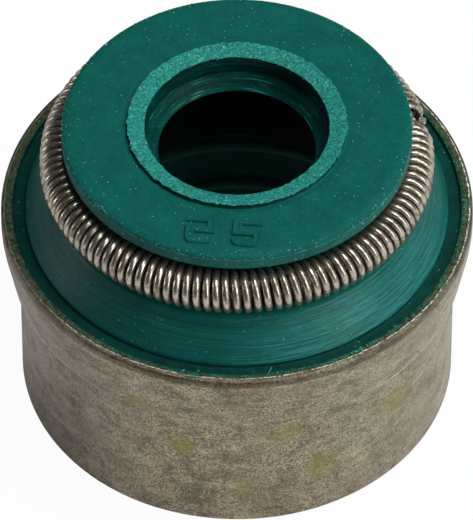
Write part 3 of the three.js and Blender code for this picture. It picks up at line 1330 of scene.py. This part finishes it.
@dataclass
class RaisedNumber:
    """Raised two-digit number on the head, each digit a rounded block with two slots open to one side."""

    sizes: SealSizes
    height: float = 1.68
    width: float = 1.38
    stroke: float = 0.40
    pitch: float = 2.15
    proud: float = 0.14
    corner: float = 0.34
    edge_gap: float = 0.26
    turn: float = math.radians(-5.3)
    margin: float = 0.3
    spacing: float = 0.02
    softness: float = 0.032
    outline_height: float = 0.04
    outline_width: float = 0.035
    slot_depth: float = 0.2
    root: float = 0.3
    sunk: float = 0.02
    slot_margin: float = 0.06
    outline_inset: float = 0.056
    digits: tuple[tuple[Side, Side], ...] = ((Side.LEFT, Side.RIGHT), (Side.RIGHT, Side.LEFT))

    def digit_distance(self, x: np.ndarray, y: np.ndarray, upper: Side,
                       lower: Side) -> tuple[np.ndarray, np.ndarray]:
        """Distance outside a digit's outline: a rounded rectangle, less one box for each slot.

        Args:
            x: places across the digit, from its middle.
            y: places up the digit, from its middle.
            upper: side that the upper slot opens to.
            lower: side that the lower slot opens to.

        Returns:
            Distances outside the strokes and outside the whole block in millimetres, negative inside them.
        """
        across = np.abs(x) - (self.width / 2 - self.corner)
        up = np.abs(y) - (self.height / 2 - self.corner)
        outside = np.hypot(np.maximum(across, 0), np.maximum(up, 0)) + np.minimum(np.maximum(across, up), 0)
        block = outside - self.corner
        distance = block
        slot = (self.height - 3 * self.stroke) / 2
        for side, middle in ((upper, (self.stroke + slot) / 2), (lower, -(self.stroke + slot) / 2)):
            box_x = np.abs(x - side.value * self.stroke) - self.width / 2
            box_y = np.abs(y - middle) - slot / 2
            distance = np.maximum(distance, -np.maximum(box_x, box_y))
        return distance, block

    def build(self) -> bpy.types.Object:
        """Makes a shallow block whose top is a height field: the strokes stand proud of the head.

        Returns:
            The piece.
        """
        s = self.sizes
        half_x = (self.width + self.pitch * (len(self.digits) - 1)) / 2 + self.margin
        half_y = self.height / 2 + self.margin / 2
        x = np.arange(-half_x, half_x, self.spacing)[:, None]
        y = np.arange(-half_y, half_y, self.spacing)[None]
        distance = np.full(np.broadcast(x, y).shape, np.inf)
        inside_slot = distance.copy()
        for i, (upper, lower) in enumerate(self.digits):
            middle = (i - (len(self.digits) - 1) / 2) * self.pitch
            strokes, block = self.digit_distance(x - middle, y, upper, lower)
            distance = np.minimum(distance, strokes)
            inside_slot = np.minimum(inside_slot, np.where(strokes > 0, block + self.slot_margin, np.inf))
        share = smooth_step(0.5 - distance / (2 * self.softness))
        outline = np.exp(-(((distance + self.outline_inset) / self.outline_width) ** 2))
        floor = np.where(inside_slot < 0, -self.slot_depth, -self.sunk)
        level = floor + (self.proud - floor - self.outline_height) * share + self.outline_height * outline
        middle_radius = s.flat_radius - self.edge_gap - self.height / 2
        top = np.stack(np.broadcast_arrays(x, y - middle_radius, s.head_top + level), axis=-1)
        bottom = top.copy()
        bottom[..., 2] = s.head_top - self.root
        rows, columns = level.shape
        points = np.concatenate([top.reshape(-1, 3), bottom.reshape(-1, 3)])
        cos, sin = math.cos(self.turn), math.sin(self.turn)
        points[:, :2] = points[:, :2] @ np.array([[cos, sin], [-sin, cos]])
        upper_faces = grid_faces(rows, columns, False, False)
        lower_faces = grid_faces(rows, columns, False, False)[:, ::-1] + rows * columns
        number = np.arange(rows * columns).reshape(rows, columns)
        loop = np.concatenate([number[:-1, 0], number[-1, :-1], number[:0:-1, -1], number[0, :0:-1]])
        after = np.roll(loop, -1)
        sides = np.stack([loop, loop + rows * columns, after + rows * columns, after], axis=1)
        return mesh_object("raised_number", points, np.concatenate([upper_faces, lower_faces, sides]))


@dataclass
class GarterSpring:
    """Garter spring: one wire coiled about a ring, its drawn-in end screwed into its other end."""

    sizes: SealSizes
    joint_angle: float = math.radians(16)
    nib_turns: float = 3.5
    taper_turns: float = 3.0
    nib_clearance: float = 0.06
    steps: int = 30
    sides: int = 12
    solid_steps: int = 7
    unevenness: float = 0.012
    pitch_unevenness: float = 0.0012

    def build(self) -> bpy.types.Object:
        """Sweeps a circle along the wire, whose middle is R out + c (cos a out + sin a up).

        Returns:
            The piece.
        """
        s = self.sizes
        turns = s.coils + self.nib_turns
        turn = np.linspace(0, turns, round(turns * self.steps) + 1)
        lap = 2 * np.pi * turn / s.coils
        full = s.coil_radius - s.wire / 2
        nib = full * math.cos(math.pi / self.solid_steps) - s.wire - self.nib_clearance
        coil = full + (nib - full) * smooth_step((turn - s.coils + self.taper_turns) / self.taper_turns)
        wobble = periodic_noise(lap, np.zeros_like(turn), SEED + 7, orders=40, length=1.0)
        coil -= self.unevenness * (1 + np.tanh(wobble)) / 2 * (turn < s.coils - self.taper_turns)
        drift = periodic_noise(lap, np.zeros_like(turn), SEED + 8, orders=34, length=1.0)
        out = polar(1.0, self.joint_angle + lap + self.pitch_unevenness * drift, 0.0)
        coil_angle = -2 * np.pi * turn[:, None]
        spoke = np.cos(coil_angle) * out + np.sin(coil_angle) * UP
        centre = s.spring_radius * out + s.spring_height * UP + coil[:, None] * spoke
        ahead = unit(np.gradient(centre, axis=0))
        normal = square_to(spoke, ahead)[:, None]
        other = np.cross(ahead[:, None], normal)
        section = round_steps(self.sides)[None, :, None]
        surface = centre[:, None] + s.wire / 2 * (np.cos(section) * normal + np.sin(section) * other)
        count = len(turn)
        faces = grid_faces(count, self.sides, False, True)
        ends = np.stack([np.arange(self.sides)[::-1], np.arange(self.sides) + (count - 1) * self.sides])
        length = np.concatenate([[0], np.cumsum(np.linalg.norm(np.diff(centre, axis=0), axis=1))])
        i, j = np.meshgrid(np.arange(count - 1), np.arange(self.sides), indexing="ij")
        u = np.stack([length[i], length[i + 1], length[i + 1], length[i]], axis=-1)
        v = np.stack([j, j, j + 1, j + 1], axis=-1) / self.sides
        uv = np.stack([u, v], axis=-1).reshape(-1, 2)
        piece = mesh_object("garter_spring_coiled", surface.reshape(-1, 3), faces, None, uv)
        self.cap(piece, ends)
        return piece

    @staticmethod
    def cap(piece: bpy.types.Object, ends: np.ndarray) -> None:
        """Closes the two cut ends of the wire with a flat face each.

        Args:
            piece: the open wire.
            ends: the vertex numbers round each end, one row per end.
        """
        work = bmesh.new()
        work.from_mesh(piece.data)
        work.verts.ensure_lookup_table()
        for end in ends:
            work.faces.new([work.verts[k] for k in end])
        bmesh.ops.recalc_face_normals(work, faces=work.faces)
        work.to_mesh(piece.data)
        work.free()


@dataclass
class Crumbs:
    """Small flat chips of rubber: flash, crumbs or burrs, each a flattened double cone with an uneven rim."""

    name: str
    places: np.ndarray
    normals: np.ndarray
    lengths: np.ndarray
    seed: int
    thickness: float = 0.25
    rim: int = 7
    jitter: float = 0.5
    shortest: float = 0.55
    slimness: tuple[float, float] = (0.25, 0.7)
    curl: float = 0.12

    def build(self) -> bpy.types.Object:
        """Scatters the chips: each has an uneven oval rim and a tip on either side of it.

        Returns:
            The piece.
        """
        rng = np.random.default_rng(self.seed)
        count = len(self.places)
        first = square_to(rng.normal(size=(count, 3)), self.normals)
        second = np.cross(self.normals, first)
        angle = round_steps(self.rim)[None] + rng.uniform(0, self.jitter, (count, self.rim))
        reach = self.lengths[:, None] / 2 * rng.uniform(self.shortest, 1.0, (count, self.rim))
        slim = rng.uniform(*self.slimness, (count, 1))
        lift = self.lengths[:, None] * rng.uniform(-self.curl, self.curl, (count, self.rim))
        rim = (self.places[:, None] + (reach * np.cos(angle))[..., None] * first[:, None]
               + (reach * slim * np.sin(angle))[..., None] * second[:, None]
               + lift[..., None] * self.normals[:, None])
        tip = self.thickness * self.lengths[:, None] * self.normals
        points = np.concatenate([rim, (self.places + tip)[:, None], (self.places - tip)[:, None]], axis=1)
        k = np.arange(self.rim)
        after = (k + 1) % self.rim
        one = np.concatenate([np.stack([k, after, np.full_like(k, self.rim)], 1),
                              np.stack([after, k, np.full_like(k, self.rim + 1)], 1)])
        faces = (one[None] + (np.arange(count) * (self.rim + 2))[:, None, None]).reshape(-1, 3)
        return mesh_object(self.name, points.reshape(-1, 3), faces, smooth=False)


@dataclass(frozen=True)
class Lamp:
    """A square soft lamp: its place and side in millimetres, its power in watts and its colour."""

    name: str
    place: Triple
    size: float
    power: float
    colour: Triple = (1.0, 1.0, 1.0)


LAMPS = (
    Lamp("key_overhead", (85, 30, 335), size=200, power=0.86),
    Lamp("right_high", (225, -135, 215), size=180, power=0.49),
    Lamp("right_front_low", (275, -205, 85), size=120, power=0.25),
    Lamp("left_low", (-330, 20, 60), size=120, power=0.20, colour=(0.96, 0.93, 1.0)),
)


@dataclass
class Studio:
    """White floor, soft lamps and the camera at the photograph's angle."""

    sizes: SealSizes
    elevation: float = math.radians(48.58)
    distance: float = 419.0
    focal_pixels: float = 9000.0
    image: tuple[int, int] = (473, 520)
    rim_centre_pixel: tuple[float, float] = (236.9, 204.3)
    sky: float = 0.03
    sky_colour: Triple = (0.96, 0.98, 1.0)
    sensor_width: float = 36.0
    seen_from: float = 0.01
    seen_to: float = 10.0
    # glow of the floor seen only in reflections: painted light, with painted shade near the left and towards
    # the far back-left
    floor_glow: float = 0.38
    shade_place: tuple[float, float] = (-11.5, -6.5)
    shade_reach: tuple[float, float] = (2.5, 7.0)
    shade_depth: float = 0.6
    painted_shade_far_reach: tuple[float, float] = (6.0, 16.0)
    painted_shade_far_share: float = 0.08
    painted_shade_far_side: Triple = (-0.55, 0.83, 0.0)
    floor_whiteness: float = 0.965
    floor_grey: float = 0.60
    floor_roughness: float = 0.9
    floor_size: float = 4000.0
    floor_drop: float = 0.01

    def floor(self) -> None:
        """Large floor that looks white and keeps a faint shadow; in reflections only it glows, a painted
        light, with painted shade near the left and towards the far back-left.
        """
        size, down = self.floor_size, -self.floor_drop
        points = np.array([[-size, -size, down], [size, -size, down],
                           [size, size, down], [-size, size, down]])
        floor = mesh_object("floor", points, np.array([[0, 1, 2, 3]]), smooth=False)
        n = Nodes("white_floor")
        n.fill(n.shader, {"Base Color": (*[self.floor_grey] * 3, 1), "Roughness": self.floor_roughness})
        path = n.tree.nodes.new("ShaderNodeLightPath")
        near, far = (reach * MM for reach in self.shade_reach)
        shaded = self.floor_glow * (1 - self.shade_depth)
        strength = n.ramp(n.away((*self.shade_place, 0.0)), near, far, shaded, self.floor_glow)
        # painted shade: the glow fades towards the far back-left
        strength = n.times(strength, n.side(self.painted_shade_far_side, *self.painted_shade_far_reach, 1.0, self.painted_shade_far_share))
        strength = n.times(path.outputs["Is Glossy Ray"], strength)
        glow = n.add("ShaderNodeEmission", {"Color": (1, 1, 1, 1), "Strength": strength})
        lit = n.add("ShaderNodeAddShader", {0: n.shader.outputs[0], 1: glow.outputs[0]})
        white = n.add("ShaderNodeEmission", {"Color": (1, 1, 1, 1)})
        seen = n.times(path.outputs["Is Camera Ray"], self.floor_whiteness)
        blend = n.add("ShaderNodeMixShader", {0: seen, 1: lit.outputs[0], 2: white.outputs[0]})
        n.link(blend.outputs[0], n.output.inputs[0])
        floor.data.materials.append(n.material)

    def world(self) -> None:
        """World that is white to the camera and a soft grey to the object."""
        world = bpy.data.worlds.new("studio")
        bpy.context.scene.world = world
        world.use_nodes = True
        tree = world.node_tree
        tree.nodes.clear()
        output = tree.nodes.new("ShaderNodeOutputWorld")
        white = tree.nodes.new("ShaderNodeBackground")
        white.inputs["Strength"].default_value = 1.0
        soft = tree.nodes.new("ShaderNodeBackground")
        soft.inputs["Color"].default_value = (*self.sky_colour, 1)
        soft.inputs["Strength"].default_value = self.sky
        path = tree.nodes.new("ShaderNodeLightPath")
        blend = tree.nodes.new("ShaderNodeMixShader")
        tree.links.new(path.outputs["Is Camera Ray"], blend.inputs[0])
        tree.links.new(soft.outputs[0], blend.inputs[1])
        tree.links.new(white.outputs[0], blend.inputs[2])
        tree.links.new(blend.outputs[0], output.inputs[0])

    def lamp(self, lamp: Lamp) -> None:
        """Square soft lamp aimed at the middle of the case's rim.

        Args:
            lamp: the lamp's data.
        """
        light = bpy.data.lights.new(lamp.name, "AREA")
        light.size = lamp.size * MM
        light.energy = lamp.power
        light.color = lamp.colour
        holder = bpy.data.objects.new(lamp.name, light)
        holder.location = Vector(lamp.place) * MM
        aim = Vector((0, 0, self.sizes.case_height * MM)) - holder.location
        holder.rotation_euler = aim.to_track_quat("-Z", "Y").to_euler()
        bpy.context.scene.collection.objects.link(holder)

    def camera(self) -> None:
        """Camera that sees the rim's centre at its pixel of the photograph, from its elevation."""
        width, height = self.image
        data = bpy.data.cameras.new("camera")
        data.sensor_width = self.sensor_width
        data.lens = self.focal_pixels / height * data.sensor_width
        data.clip_start = self.seen_from
        data.clip_end = self.seen_to
        camera = bpy.data.objects.new("camera", data)
        back = Vector((0, -math.cos(self.elevation), math.sin(self.elevation)))
        up = Vector((0, math.sin(self.elevation), math.cos(self.elevation)))
        scale = self.distance / self.focal_pixels
        right_shift = (width / 2 - self.rim_centre_pixel[0]) * scale
        down_shift = (height / 2 - self.rim_centre_pixel[1]) * scale
        aim = Vector((0, 0, self.sizes.case_height)) + Vector((right_shift, 0, 0)) - up * down_shift
        camera.location = (aim + back * self.distance) * MM
        camera.rotation_euler = (-back).to_track_quat("-Z", "Y").to_euler()
        bpy.context.scene.collection.objects.link(camera)
        bpy.context.scene.camera = camera

    def build(self) -> None:
        """Sets up floor, world, lamps, camera and the plain view transform."""
        bpy.context.scene.view_settings.view_transform = "Standard"
        self.camera()
        self.floor()
        self.world()
        for lamp in LAMPS:
            self.lamp(lamp)


def chip_lengths(rng: np.random.Generator, count: int, middle: float, spread: float,
                 limits: tuple[float, float]) -> np.ndarray:
    """Random lengths of chips, many small and few large.

    Args:
        rng: the random numbers.
        count: number of chips.
        middle: the middle length in millimetres.
        spread: spread of the length's logarithm.
        limits: shortest and longest length.

    Returns:
        The lengths in millimetres.
    """
    return rng.lognormal(math.log(middle), spread, count).clip(*limits)


def tilted(rng: np.random.Generator, outward: np.ndarray | float, angle: np.ndarray,
           spread: float) -> np.ndarray:
    """Upright normals of chips, tilted outward and then at random.

    Args:
        rng: the random numbers.
        outward: tilt away from the axis, against 1 upwards.
        angle: angle of each chip in radians.
        spread: spread of the random tilt.

    Returns:
        The unit normals.
    """
    normals = polar(outward, angle, 1.0)
    return unit(normals + rng.normal(0, spread, normals.shape))


def rim_flash(sizes: SealSizes) -> Crumbs:
    """Green chips of flash along the outer edge of the rim, thickest at the front and right.

    Args:
        sizes: the seal's sizes.

    Returns:
        The chips.
    """
    rng = np.random.default_rng(SEED + 20)
    count = 430
    front_share = 0.7
    front, front_spread = 300, 42
    inset, front_inset, inset_spread = 0.26, 0.07, 0.07
    lowest, highest = -0.005, 0.03
    at_front = rng.random(count) < front_share
    angle = np.radians(np.where(at_front, rng.normal(front, front_spread, count), rng.uniform(0, 360, count)))
    lengths = chip_lengths(rng, count, 0.075, 0.5, (0.03, 0.30))
    radius = sizes.rim_radius - inset - front_inset * np.sin(angle) ** 2 - lengths / 2
    radius -= np.abs(rng.normal(0, inset_spread, count))
    places = polar(radius, angle, sizes.case_height + rng.uniform(lowest, highest, count))
    normals = tilted(rng, outward=0.25, angle=angle, spread=0.25)
    return Crumbs("rim_flash_chips", places, normals, lengths, seed=SEED + 21, thickness=0.06)


def head_crumbs(sizes: SealSizes) -> Crumbs:
    """Pale rubber crumbs on the head: most on its outer edge, some on the flat top.

    Args:
        sizes: the seal's sizes.

    Returns:
        The crumbs.
    """
    rng = np.random.default_rng(SEED + 22)
    count = 900
    edge_share = 0.72
    ring_gap = 0.1
    lift = 0.004
    angle = np.radians(rng.uniform(0, 360, count))
    on_edge = rng.random(count) < edge_share
    slide = rng.triangular(0.0, 0.1, 1.0, count) * np.pi / 2
    edge_radius = sizes.head_radius - sizes.head_edge_width * (1 - np.cos(slide))
    edge_height = sizes.head_shoulder + sizes.head_edge_drop * np.sin(slide)
    top_radius = rng.uniform(sizes.ring_radius + ring_gap, sizes.flat_radius, count)
    lengths = chip_lengths(rng, count, 0.055, 0.45, (0.025, 0.15))
    places = polar(np.where(on_edge, edge_radius, top_radius), angle,
                   np.where(on_edge, edge_height, sizes.head_top) + lift)
    normals = tilted(rng, np.where(on_edge, np.cos(slide), 0.0), angle, 0.2)
    return Crumbs("head_crumbs", places, normals, lengths, seed=SEED + 23, thickness=0.3)


def ring_burrs(sizes: SealSizes) -> Crumbs:
    """Ragged burrs that the grinding left round the ring's outer and inner edges.

    Args:
        sizes: the seal's sizes.

    Returns:
        The burrs.
    """
    rng = np.random.default_rng(SEED + 24)
    count = 520
    inner_share = 0.35
    inner_inset, outer_inset, inset_spread = 0.01, 0.005, 0.012
    inner_tilt, outer_tilt = -0.6, 0.8
    sink, length_sink = 0.02, 0.25
    angle = np.radians(rng.uniform(0, 360, count))
    inner = rng.random(count) < inner_share
    lengths = chip_lengths(rng, count, 0.056, 0.45, (0.025, 0.15))
    radius = np.where(inner, sizes.mouth_radius + inner_inset, sizes.ring_radius - outer_inset)
    radius += rng.normal(0, inset_spread, count)
    height = np.where(inner, sizes.mouth_height, sizes.ring_top) - sink - length_sink * lengths
    normals = tilted(rng, np.where(inner, inner_tilt, outer_tilt), angle, spread=0.3)
    places = polar(radius, angle, height)
    return Crumbs("ring_burrs", places, normals, lengths, seed=SEED + 25, thickness=0.2)


@dataclass
class FlashStrip:
    """One thin strip of flash or one raised scratch, tapered at both ends.

    Its radii and angles are those of its two ends, in millimetres and degrees.
    """

    name: str
    radii: tuple[float, float]
    angles: tuple[float, float]
    height: float
    width: float
    proud: float
    seed: int
    steps: int = 40
    narrowest: float = 0.45
    blunt: float = 0.01

    def build(self) -> bpy.types.Object:
        """Sweeps a flat diamond whose width goes as the root of sin(pi t), with uneven sides.

        Returns:
            The piece.
        """
        rng = np.random.default_rng(self.seed)
        t = np.linspace(0, 1, self.steps)
        radius = self.radii[0] + (self.radii[1] - self.radii[0]) * t
        angle = np.radians(self.angles[0] + (self.angles[1] - self.angles[0]) * t)
        centre = polar(radius, angle, self.height)
        across = np.cross(unit(np.gradient(centre, axis=0)), UP)
        half = 0.5 * self.width * np.sqrt(np.sin(np.pi * np.clip(t, self.blunt, 1 - self.blunt)))
        rough = rng.uniform(self.narrowest, 1.0, (2, self.steps))
        crest = np.sqrt(np.sin(np.pi * np.clip(t, 2 * self.blunt, 1 - 2 * self.blunt)))
        up = UP * (self.proud * crest)[:, None]
        section = np.stack([centre - across * (half * rough[0])[:, None], centre - up,
                            centre + across * (half * rough[1])[:, None], centre + up], axis=1)
        faces = grid_faces(self.steps, 4, False, True)
        last = 4 * (self.steps - 1)
        ends = np.array([[3, 2, 1, 0], [last, last + 1, last + 2, last + 3]])
        return mesh_object(self.name, section.reshape(-1, 3), np.concatenate([faces, ends]), smooth=False)


def marks(sizes: SealSizes) -> list[tuple[FlashStrip, bool]]:
    """Single marks on rim and head.

    Args:
        sizes: the seal's sizes.

    Returns:
        Each mark, and whether it has the pale finish.
    """
    rim, top = sizes.rim_radius, sizes.case_height
    head, flat = sizes.head_radius, sizes.flat_radius
    return [
        (FlashStrip("rim_flash_blob", (rim - 0.22, rim - 0.26), (257.6, 260.8), top + 0.02,
                    width=0.16, proud=0.05, seed=SEED + 30), False),
        (FlashStrip("rim_flash_tail", (rim - 0.36, rim - 0.28), (253.0, 257.2), top + 0.01,
                    width=0.06, proud=0.03, seed=SEED + 31), False),
        (FlashStrip("rim_hair", (rim - 0.9, rim - 0.42), (279.2, 277.6), top + 0.02,
                    width=0.035, proud=0.02, seed=SEED + 32), True),
        (FlashStrip("head_scratch", (flat + 0.02, flat - 0.01), (269.6, 273.4), sizes.head_top - 0.004,
                    width=0.07, proud=0.02, seed=SEED + 33), False),
        (FlashStrip("head_edge_flash", (head - 0.16, head - 0.1), (215.0, 222.5), sizes.head_shoulder + 0.13,
                    width=0.07, proud=0.03, seed=SEED + 34), True),
    ]


def measured_sizes() -> SealSizes:
    """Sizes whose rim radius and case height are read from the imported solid.

    Returns:
        The sizes.
    """
    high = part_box("metal_case")[1]
    return SealSizes(rim_radius=round(high.x / MM, 3), case_height=round(high.z / MM, 3))


def main() -> None:
    """Builds the studio and every piece in order."""
    logging.basicConfig(level=logging.INFO, format="%(name)s: %(message)s")
    sizes = measured_sizes()
    Studio(sizes).build()

    moulded = RubberFinish().build()
    turned = RubberFinish("green_rubber_turned", deep=(0.0036, 0.092, 0.080), light=(0.0050, 0.122, 0.108),
                          line_scale=9.0, line_depth=0.012, roughness=0.42, specular=0.15, dust_amount=0.08,
                          # the turned shoulder carries a painted sheen on its right-front side
                          painted_sheen=0.85).build()
    # painted shade: darker rubber on the bore wall below the mouth, with pale scratches that stand partly for
    # highlights
    throat = RubberFinish("green_rubber_throat_painted_shade", deep=(0.0012, 0.032, 0.026), light=(0.0022, 0.060, 0.050),
                          line_scale=5.0, line_depth=0.03, roughness=0.4, specular=0.05, dust_amount=0.03,
                          scratch_share=0.8, scratch=(0.03, 0.30, 0.25)).build()
    side = RubberFinish("green_rubber_side", deep=(0.0075, 0.084, 0.074), light=(0.0150, 0.130, 0.114),
                        roughness=0.6, specular=0.14, dust_amount=0.16).build()
    # painted shade: near-black rubber inside the bore and chamber
    inside = RubberFinish("green_rubber_inside_painted_shade", deep=(0.0003, 0.0025, 0.002), light=(0.0004, 0.004, 0.003),
                          specular=0.01, grain_share=0.0, dust_amount=0.0,
                          scratch=(0.001, 0.01, 0.008)).build()
    # painted shade: dark rubber in the groove inside the rim and on the ring's outer wall, where shadow falls
    groove = RubberFinish("green_rubber_groove_painted_shade", deep=(0.0018, 0.030, 0.025), light=(0.0030, 0.052, 0.043),
                          specular=0.05, grain_share=0.15).build()
    ground = GroundRubberFinish().build()
    edge = GroundRubberFinish("green_rubber_edge_line", deep=(0.010, 0.095, 0.083), light=(0.034, 0.24, 0.21),
                              pale=(0.36, 0.72, 0.64), grain_scale=4.5).build()
    burr = GroundRubberFinish("green_rubber_burrs", deep=(0.03, 0.22, 0.18), light=(0.07, 0.46, 0.39),
                              pale=(0.45, 0.82, 0.74)).build()
    flash = GroundRubberFinish("green_rubber_flash", deep=(0.010, 0.18, 0.11),
                               light=(0.03, 0.36, 0.24)).build()
    crumb = GroundRubberFinish("green_rubber_crumbs", deep=(0.06, 0.26, 0.22),
                               light=(0.20, 0.48, 0.41)).build()
    steel = CaseSteelFinish().build()
    rim = RimFilmFinish(inner=sizes.rim_inner, outer=sizes.rim_radius - FILM_INSET).build()
    # painted glint: near-white cut edge of the rim, dimmed on the left
    bare = SteelEdgeHighlightFinish("sheared_steel_edge_painted_glint", bright=(0.86, 0.88, 0.80), nick=(0.07, 0.075, 0.04),
                           nick_range=(0.42, 0.55), flash_range=(0.53, 0.60), highlight_left_fade=0.85).build()
    # painted shade: a copy of the case steel at about half brightness, for the rounded rim edge and the foot
    # bevel
    shaded_steel = CaseSteelFinish("case_steel_painted_shade", dark=(0.055, 0.048, 0.030), light=(0.26, 0.23, 0.155),
                           left_painted_shade=(0.16, 0.135, 0.115), green=(0.17, 0.17, 0.115),
                           brown=(0.11, 0.075, 0.045)).build()
    # painted highlight: a bright line on the band's lower edge, only on the left and right sides, where lamp
    # light would glint
    highlight_line = SteelEdgeHighlightFinish("painted_highlight_steel_edge", bright=(0.88, 0.87, 0.83), nick=(0.22, 0.20, 0.15),
                           nick_range=(0.36, 0.54), flash_range=(0.95, 1.0), highlight_sides_only=True).build()
    wire = SpringWireFinish().build()

    dress(SteelCase(sizes).build(), "metal_case", [steel, rim, bare, shaded_steel, highlight_line])
    dress(RubberBody(sizes).build(), "rubber_body",
          [moulded, turned, ground, side, throat, inside, groove, edge])
    dress(RaisedNumber(sizes).build(), None, [moulded])
    dress(GarterSpring(sizes).build(), "garter_spring", [wire])
    dress(rim_flash(sizes).build(), None, [flash])
    dress(head_crumbs(sizes).build(), None, [crumb])
    dress(ring_burrs(sizes).build(), None, [burr])
    for mark, pale in marks(sizes):
        dress(mark.build(), None, [crumb if pale else flash])


if __name__ == "__main__":
    main()
